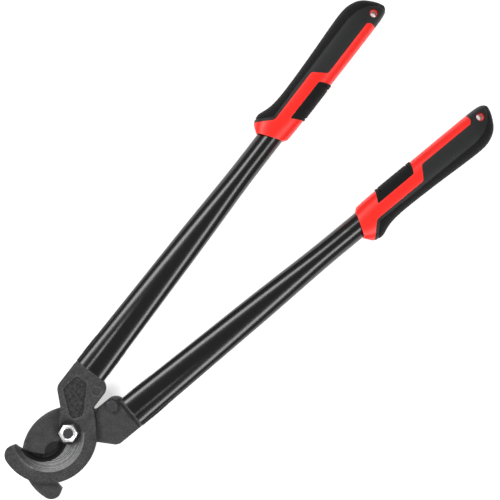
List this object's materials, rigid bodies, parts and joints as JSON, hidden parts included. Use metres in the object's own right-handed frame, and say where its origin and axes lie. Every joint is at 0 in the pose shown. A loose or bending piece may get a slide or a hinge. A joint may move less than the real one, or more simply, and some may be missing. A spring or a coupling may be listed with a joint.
{
  "type": "cable cutter",
  "caption": "Long-handled cable cutter with two hooked forged jaws on a pivot bolt, tapered tube handles and two-colour moulded grips.",
  "frame": {"origin": "on the pivot bolt's axis, on the flat of the bolt's head, which is in the plane the cutter rests on", "axes": "+Y between the two handles from the pivot to the grips, +X towards the rear jaw's handle, +Z along the pivot bolt out of its nut"},
  "size_m": [0.205, 0.6122, 0.0354],
  "materials": {
    "forged_steel": "matte dark grey coating with fine forged grain",
    "black_bolt": "black oxide",
    "zinc_nut": "bright zinc plate",
    "tube_paint": "gloss black powder coat",
    "pin_steel": "plain steel",
    "red_plastic": "satin moulded plastic",
    "black_rubber": "matte soft moulding"
  },
  "bodies": {
    "front_half": {"front_jaw": "forged_steel", "front_stop_bolt": "black_bolt", "front_handle_tube": "tube_paint", "front_tube_pin": "pin_steel", "front_grip_sleeve": "red_plastic", "front_palm_overmould": "black_rubber", "front_finger_pad": "black_rubber", "pivot_bolt": "black_bolt", "pivot_washer": "black_bolt", "pivot_nut": "zinc_nut"},
    "rear_half": {"rear_jaw": "forged_steel", "rear_stop_bolt": "black_bolt", "rear_handle_tube": "tube_paint", "rear_tube_pin": "pin_steel", "rear_grip_sleeve": "red_plastic", "rear_palm_overmould": "black_rubber", "rear_finger_pad": "black_rubber"}
  },
  "joints": [
    {"name": "jaw_pivot", "type": "hinge", "parent": "front_half", "child": "rear_half", "pos_m": [0, 0, 0.016], "axis": [0, 0, -1], "range_deg": [-8, 110]}
  ]
}
